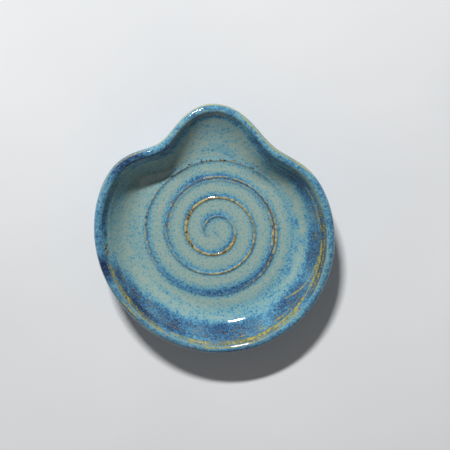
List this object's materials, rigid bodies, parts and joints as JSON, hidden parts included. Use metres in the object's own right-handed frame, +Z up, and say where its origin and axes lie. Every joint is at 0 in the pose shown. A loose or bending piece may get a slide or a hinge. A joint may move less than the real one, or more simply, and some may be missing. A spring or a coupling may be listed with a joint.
{
  "type": "spoon rest",
  "caption": "Shallow round glazed stoneware dish with a pulled-out lip between two pressed-in dents and a raised throwing spiral, for resting a wet spoon with its handle over the lip.",
  "frame": {"origin": "centre of the foot ring, on the plane that the dish stands on", "axes": "+Z up along the axis on which the dish was thrown, +Y towards the lip"},
  "size_m": [0.1169, 0.1236, 0.019],
  "materials": {
    "stoneware": "matte",
    "inside_glaze": "gloss",
    "rim_glaze": "gloss",
    "outside_glaze": "gloss"
  },
  "bodies": {
    "root": {"stoneware_body": "stoneware", "inside_glaze": "inside_glaze", "rim_glaze": "rim_glaze", "outside_glaze": "outside_glaze"}
  },
  "joints": []
}
